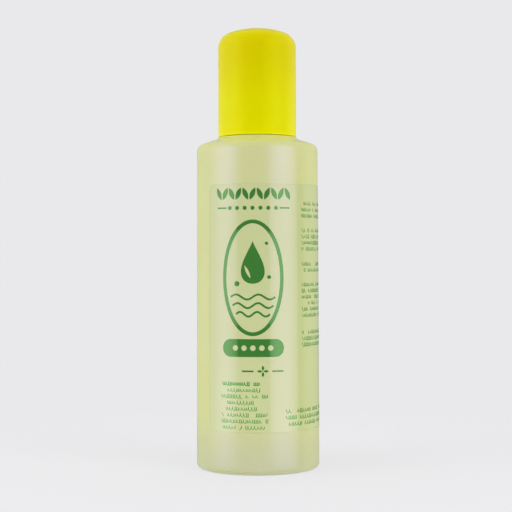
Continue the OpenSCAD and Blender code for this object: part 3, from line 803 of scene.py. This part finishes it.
# %% Glossy yellow polypropylene
DECK_Z = 121.3 * MM
cap_pp, tree, where = new_material("yellow_polypropylene_polished_mould")
height = add(tree, "ShaderNodeSeparateXYZ", {"Vector": where}).outputs["Z"]
over_insert = add(tree, "ShaderNodeMapRange", {
    "Value": height, "From Min": DECK_Z + 9 * MM, "From Max": DECK_Z - 9 * MM},
    interpolation_type="SMOOTHSTEP")
# The flow of the melt leaves patches of about 6 mm, in tone and in the skin.
flow = add(tree, "ShaderNodeTexNoise", {"Vector": where, "Scale": spaced(6.25), "Detail": 2.0})
# Painted light: the lowest 0.35 mm of the shell is painted lighter, so its edge over the gap doesn't go
# dark.
painted_edge_light = add(tree, "ShaderNodeMapRange", {
    "Value": height, "From Min": CAP_EDGE_Z + 0.35 * MM, "From Max": CAP_EDGE_Z + 0.05 * MM, "To Max": 0.9})
tones = [add(tree, "ShaderNodeMix", {0: over_insert, 6: linear(dome), 7: linear(foot)}, data_type="RGBA")
         for dome, foot in (("DED200", "E3DF00"), ("DAD000", "E0DB00"))]
yellow = add(tree, "ShaderNodeMix", {0: flow, 6: tones[0], 7: tones[1]}, data_type="RGBA")
yellow = add(tree, "ShaderNodeMix", {0: painted_edge_light, 6: yellow, 7: linear("F6F200")}, data_type="RGBA")
# Handling dulls the polish in patches of about 1 mm.
handled = add(tree, "ShaderNodeTexNoise", {"Vector": where, "Scale": spaced(0.909), "Detail": 4.0})
gloss = add(tree, "ShaderNodeMapRange", {"Value": handled, "To Min": 0.3, "To Max": 0.38})
bump = add(tree, "ShaderNodeBump", {"Height": flow, "Strength": 0.15, "Distance": 0.02 * MM})
skin = add(tree, "ShaderNodeBsdfPrincipled", {
    "Base Color": yellow, "Roughness": gloss, "Normal": bump, "IOR": 1.45, "Specular IOR Level": 0.35,
    "Specular Tint": (1.0, 0.97, 0.02, 1.0),
    "Subsurface Weight": 1.0, "Subsurface Radius": (1.0, 0.9, 0.1), "Subsurface Scale": 0.4 * MM})
add(tree, "ShaderNodeOutputMaterial", {"Surface": skin})
print("cap nodes:", len(tree.nodes))

# %% [markdown]
# ## What the cap hides
#
# Under the cap are a white PP insert, a foam wad, and the pouring plug of soft LDPE, and the remover stands
# in the neck. They show when the cap is off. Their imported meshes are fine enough, so each only gets the
# finish of its own material: a satin mould skin, the open grain of foam, and the wet gloss of a liquid. All
# four are one recipe with other numbers, so a function makes them.


# %% Plain finishes for the hidden parts
def plain_finish(title, light, dark, grain, rough, relief, ior):
    """A plain material: a colour that drifts over 4 mm, and grain and its relief in millimetres."""
    material, tree, where = new_material(title)
    drift = add(tree, "ShaderNodeTexNoise", {"Vector": where, "Scale": spaced(4.17), "Detail": 1.0})
    tone = add(tree, "ShaderNodeMix", {0: drift, 6: linear(dark), 7: linear(light)}, data_type="RGBA")
    grains = add(tree, "ShaderNodeTexNoise", {"Vector": where, "Scale": spaced(grain), "Detail": 3.0})
    gloss = add(tree, "ShaderNodeMapRange", {
        "Value": grains, "To Min": rough - 0.05, "To Max": rough + 0.05})
    bump = add(tree, "ShaderNodeBump", {"Height": grains, "Strength": 0.2, "Distance": relief * MM})
    skin = add(tree, "ShaderNodeBsdfPrincipled", {
        "Base Color": tone, "Roughness": gloss, "Normal": bump, "IOR": ior})
    add(tree, "ShaderNodeOutputMaterial", {"Surface": skin})
    return material


FINISHES = {
    "cap_shell": cap_pp,
    "cap_insert": plain_finish(
        "white_polypropylene_insert", "F0F0EC", "E6E6E0", grain=0.4, rough=0.42, relief=0.01, ior=1.49),
    "neck_plug": plain_finish(
        "natural_ldpe_plug", "E9E9E2", "DDDDD3", grain=0.4, rough=0.38, relief=0.01, ior=1.51),
    "cap_liner": plain_finish(
        "white_polyethylene_foam", "F2F2F0", "DADAD6", grain=0.4545, rough=0.85, relief=0.12, ior=1.5),
    "liquid": plain_finish(
        "yellow_remover", "D8DC4A", "CFD43C", grain=2.5, rough=0.08, relief=0.002, ior=1.36),
}
for node, material in FINISHES.items():
    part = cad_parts[node]
    part.data.materials.clear()
    part.data.materials.append(material)
    print(node, "is now", material.name)

# %% [markdown]
# ## The floor
#
# The photograph was taken on a pale sweep that runs on into the background without a line. A wide curved
# sheet could be that, but its far end would have to match the background in every view. Here the floor is a
# small disc that fades out before its rim. Three quarters of what the camera sees of it glows in the
# background's colour, and the rest is a real diffuse surface that takes the shadow. For the light that it
# throws back on the bottle it glows less. The bottle's gloss doesn't show it.

# %% Floor
BACKGROUND = linear("E9E9EB")
FLOOR_RADIUS, FADE_START, FADE_END = 0.2, 0.09, 0.19
GLOW_WHEN_SEEN, GLOW_THROWN_BACK = 0.75, 0.85  # The rest is light on diffuse paper.
FLOOR_Z = -0.05 * MM  # Just under the standing ring, so that the two don't touch.
sweep, tree, where = new_material("pale_sweep")
radius = add(tree, "ShaderNodeVectorMath", {0: where}, operation="LENGTH")
fade = add(tree, "ShaderNodeMapRange", {
    "Value": radius, "From Min": FADE_START, "From Max": FADE_END}, interpolation_type="SMOOTHSTEP")
paper_grain = add(tree, "ShaderNodeTexNoise", {"Vector": where, "Scale": spaced(1.11), "Detail": 2.0})
paper = add(tree, "ShaderNodeMix", {
    0: paper_grain, 6: linear("E6E6E8"), 7: linear("ECECEE")}, data_type="RGBA")
lit = add(tree, "ShaderNodeBsdfDiffuse", {"Color": paper})
glow = add(tree, "ShaderNodeEmission", {"Color": BACKGROUND, "Strength": 1.02})
seen = add(tree, "ShaderNodeMixShader", {0: GLOW_WHEN_SEEN, 1: lit, 2: glow})
dim_glow = add(tree, "ShaderNodeEmission", {"Color": BACKGROUND, "Strength": 0.52})
bounce = add(tree, "ShaderNodeMixShader", {0: GLOW_THROWN_BACK, 1: lit, 2: dim_glow})
rays = add(tree, "ShaderNodeLightPath").outputs
looked_at = add(tree, "ShaderNodeMath", {
    0: rays["Is Camera Ray"], 1: rays["Is Transmission Ray"]}, operation="MAXIMUM")
by_ray = add(tree, "ShaderNodeMixShader", {0: looked_at, 1: bounce, 2: seen})
clear = add(tree, "ShaderNodeBsdfTransparent")
faded = add(tree, "ShaderNodeMixShader", {0: fade, 1: by_ray, 2: clear})
add(tree, "ShaderNodeOutputMaterial", {"Surface": faded})

bm = bmesh.new()
bmesh.ops.create_circle(bm, cap_ends=True, segments=96, radius=FLOOR_RADIUS)
floor_mesh = mesh_of("floor", bm)
floor_mesh.materials.append(sweep)
for v in floor_mesh.vertices:
    v.co.z = FLOOR_Z
floor = bpy.data.objects.new("floor", floor_mesh)
bpy.context.scene.collection.objects.link(floor)
floor.visible_glossy = False
print("the floor is", 2 * FLOOR_RADIUS, "m across")

# %% [markdown]
# ## The room
#
# The bottle stood in a pale room. Walls could be modelled, but the world can stand for them: it gives each
# ray what it would find in its direction. A ray of soft light finds a white wall behind the bottle and a
# pale ceiling. A mirrored ray finds the same wall with a sharp edge, brightness round the camera, and
# darkness at the sides beyond the softboxes, which is what the gloss shows in the photograph. The camera
# finds the background.

# %% World
world = bpy.data.worlds.new("studio")
bpy.context.scene.world = world
world.use_nodes = True
tree = world.node_tree
tree.nodes.clear()
direction = add(tree, "ShaderNodeTexCoord").outputs["Generated"]
towards = add(tree, "ShaderNodeSeparateXYZ", {"Vector": direction}).outputs
# Each part of the room: its axis, where its change starts and ends, its light before and after, and how.
ROOM = {
    # What lights the bottle: a white wall behind, and a pale ceiling.
    "wall": ("Y", -0.12, 0.14, 0.02, 0.9, "SMOOTHSTEP"),
    "ceiling": ("Z", 0.3, 0.8, 0.0, 0.7, "SMOOTHSTEP"),
    # What the gloss mirrors: the wall begins sharply at the bottle's sides, and falls off to its middle.
    "wall edge": ("Y", 0.055, 0.125, 0.0, 1.0, "SMOOTHSTEP"),
    "wall fall": ("Y", 0.2, 0.9, 0.6, 0.4, "LINEAR"),
    # Between the softboxes, round the camera, the room is bright as well.
    "camera side": ("Y", -0.7, -0.85, 0.0, 0.95, "SMOOTHSTEP"),
}
parts = {}
for name, (axis, start, end, before, after, shape) in ROOM.items():
    parts[name] = add(tree, "ShaderNodeMapRange", {
        "Value": towards[axis], "From Min": start, "From Max": end, "To Min": before, "To Max": after},
        interpolation_type=shape)
ambient = add(tree, "ShaderNodeMath", {0: parts["wall"], 1: parts["ceiling"]}, operation="MAXIMUM")
mirrored = add(tree, "ShaderNodeMath", {
    0: parts["wall edge"], 1: parts["wall fall"], 2: parts["camera side"]}, operation="MULTIPLY_ADD")
rays = add(tree, "ShaderNodeLightPath").outputs
walls = add(tree, "ShaderNodeMix", {
    0: rays["Is Glossy Ray"], 2: ambient, 3: mirrored}, data_type="FLOAT")
room = add(tree, "ShaderNodeBackground", {"Color": (1.0, 1.0, 1.0, 1.0), "Strength": walls})
backdrop = add(tree, "ShaderNodeBackground", {"Color": BACKGROUND, "Strength": 1.0})
shown = add(tree, "ShaderNodeMixShader", {0: rays["Is Camera Ray"], 1: room, 2: backdrop})
add(tree, "ShaderNodeOutputWorld", {"Surface": shown})
print("world nodes:", len(tree.nodes))

# %% [markdown]
# ## The softboxes
#
# Two tall softboxes light the bottle, one on each side of the camera. Their places and widths come from the
# two bright strips on the wall. A glowing sheet could stand in for each, but an area light gives less
# noise. It can have nodes too, so its strength fades from a hot spot towards its edges. The strips run down
# to the bottle's foot, so the softboxes reach below the surface that it stands on, and light linking keeps
# that surface from hiding them.

# %% Softboxes
SOFTBOX_DISTANCE, SOFTBOX_Z, SOFTBOX_HEIGHT = 0.7, 0.24, 0.72
not_blocking = bpy.data.collections.new("not_blocking_the_softboxes")
not_blocking.objects.link(floor)
not_blocking.collection_objects[0].light_linking.link_state = "EXCLUDE"


def softbox(title, azimuth, hot, width, watts):
    """A tall area light at an angle from the camera's side, brightest at a share of its width."""
    light = bpy.data.lights.new(title, "AREA")
    light.shape = "RECTANGLE"
    light.size, light.size_y = width, SOFTBOX_HEIGHT
    light.energy = watts
    light.use_nodes = True
    tree = light.node_tree
    tree.nodes.clear()
    place_on_light = add(tree, "ShaderNodeNewGeometry").outputs["Parametric"]
    spot = add(tree, "ShaderNodeSeparateXYZ", {"Vector": place_on_light})
    off = add(tree, "ShaderNodeMath", {0: spot.outputs["X"], 1: hot}, operation="SUBTRACT")
    off = add(tree, "ShaderNodeMath", {0: off}, operation="ABSOLUTE")
    fall = add(tree, "ShaderNodeMapRange", {
        "Value": off, "From Max": 0.6, "To Min": 1.35, "To Max": 0.45}, interpolation_type="SMOOTHSTEP")
    glow = add(tree, "ShaderNodeEmission", {"Strength": fall})
    add(tree, "ShaderNodeOutputLight", {"Surface": glow})
    lamp = bpy.data.objects.new(title, light)
    angle = math.radians(azimuth)
    lamp.location = (SOFTBOX_DISTANCE * math.sin(angle), -SOFTBOX_DISTANCE * math.cos(angle), SOFTBOX_Z)
    lamp.rotation_euler = (math.radians(90), 0, angle)
    lamp.visible_camera = False
    lamp.light_linking.blocker_collection = not_blocking
    bpy.context.scene.collection.objects.link(lamp)
    print(title, "stands at", [round(c, 3) for c in lamp.location])


softbox("softbox_left", azimuth=-68.0, hot=0.6, width=0.81, watts=4.9)
softbox("softbox_right", azimuth=50.5, hot=0.5, width=0.75, watts=4.8)

# %% [markdown]
# ## The camera
#
# A camera could be placed by eye, but the curved edges of the cap, the film and the foot tell its height
# and distance. They fit a camera 417 mm away, level, at 66 mm above the base, with a lens of 92.9 mm on a
# 36 mm sensor. It is a level view, so the uprights stay parallel. The tiny roll and shift are the
# photograph's own.

# %% Camera
CAMERA_DISTANCE, CAMERA_HEIGHT, CAMERA_ROLL = 0.4171, 0.06605, 0.165
camera_data = bpy.data.cameras.new("camera")
camera_data.lens = 92.87
camera_data.sensor_width = 36.0
camera_data.shift_x = -0.0031
camera_data.shift_y = 0.002
camera_data.clip_start = 0.01
camera = bpy.data.objects.new("camera", camera_data)
camera.location = (0.0, -CAMERA_DISTANCE, CAMERA_HEIGHT)
camera.rotation_euler = (math.radians(90), math.radians(CAMERA_ROLL), 0)
bpy.context.scene.collection.objects.link(camera)
bpy.context.scene.camera = camera
bpy.context.scene.view_settings.view_transform = "Standard"
print("the camera sees", round(math.degrees(camera_data.angle), 1), "degrees")
